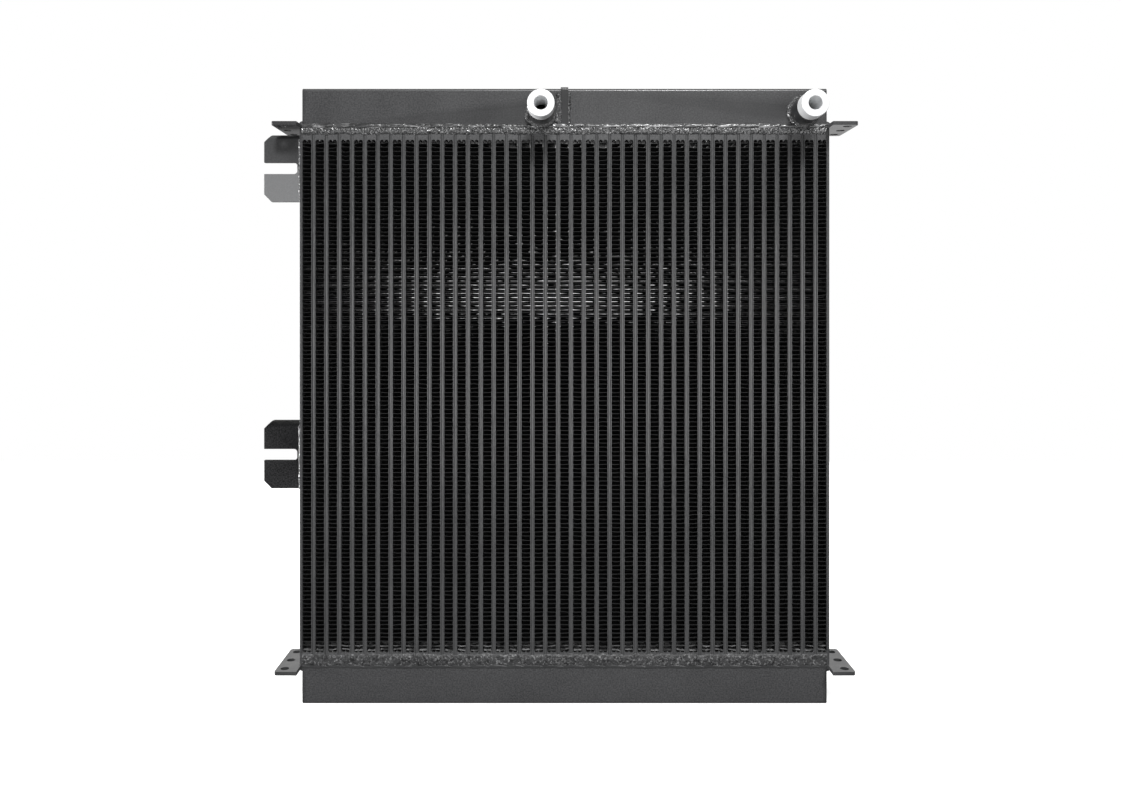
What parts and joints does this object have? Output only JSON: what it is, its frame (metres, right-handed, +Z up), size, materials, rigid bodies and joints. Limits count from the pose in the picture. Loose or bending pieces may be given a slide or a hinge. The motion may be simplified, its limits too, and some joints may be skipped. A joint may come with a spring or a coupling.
{
  "type": "hydraulic oil cooler",
  "caption": "Upright bar-and-plate oil cooler core between two tanks, with front-facing ports, drilled corner tabs and slotted side brackets.",
  "frame": {"origin": "centre of the bottom tank's underside", "axes": "+X across the core towards the outlet side, +Y along the air flow from the ports' side to the rear, +Z up from the bottom tank to the top tank"},
  "size_m": [0.6266, 0.098, 0.6564],
  "materials": {
    "painted_tank": "semi-gloss black paint on extruded aluminium, light orange peel",
    "painted_core": "semi-gloss black paint on brazed aluminium bars and sheets",
    "painted_fin": "thin black paint on folded aluminium fin strip, satin",
    "painted_bracket": "semi-gloss black paint on aluminium plate",
    "painted_weld": "glossy black paint over a rough hand-laid weld bead",
    "machined_aluminium": "bare turned aluminium, fine tool marks",
    "bare_aluminium": "mill finish strip, as brazed"
  },
  "bodies": {
    "root": {"air_bars_bottom": "painted_core", "air_bars_top": "painted_core", "air_fins_left_pass": "painted_fin", "air_fins_right_pass": "painted_fin", "bottom_end_cap_left": "painted_tank", "bottom_end_cap_right": "painted_tank", "bottom_header_weld": "painted_weld", "bottom_tank": "painted_tank", "divider_weld": "painted_weld", "inlet_adapter": "machined_aluminium", "inlet_boss": "painted_tank", "inlet_weld": "painted_weld", "lower_bracket": "painted_bracket", "lower_bracket_weld": "painted_weld", "mounting_tab_bottom_left": "painted_bracket", "mounting_tab_bottom_right": "painted_bracket", "mounting_tab_top_left": "painted_bracket", "mounting_tab_top_right": "painted_bracket", "oil_bars_front": "painted_core", "oil_bars_rear": "painted_core", "outlet_adapter": "machined_aluminium", "outlet_boss": "painted_tank", "outlet_weld": "painted_weld", "parting_sheets_left_pass": "painted_core", "parting_sheets_right_pass": "painted_core", "side_plate_left": "painted_core", "side_plate_right": "painted_core", "tab_weld_bottom_left": "painted_weld", "tab_weld_bottom_right": "painted_weld", "tab_weld_top_left": "painted_weld", "tab_weld_top_right": "painted_weld", "tank_divider": "painted_tank", "top_end_cap_left": "painted_tank", "top_end_cap_right": "painted_tank", "top_header_weld": "painted_weld", "top_tank_left": "painted_tank", "top_tank_right": "painted_tank", "turbulators_left_pass": "bare_aluminium", "turbulators_right_pass": "bare_aluminium", "upper_bracket": "painted_bracket", "upper_bracket_weld": "painted_weld"}
  },
  "joints": []
}
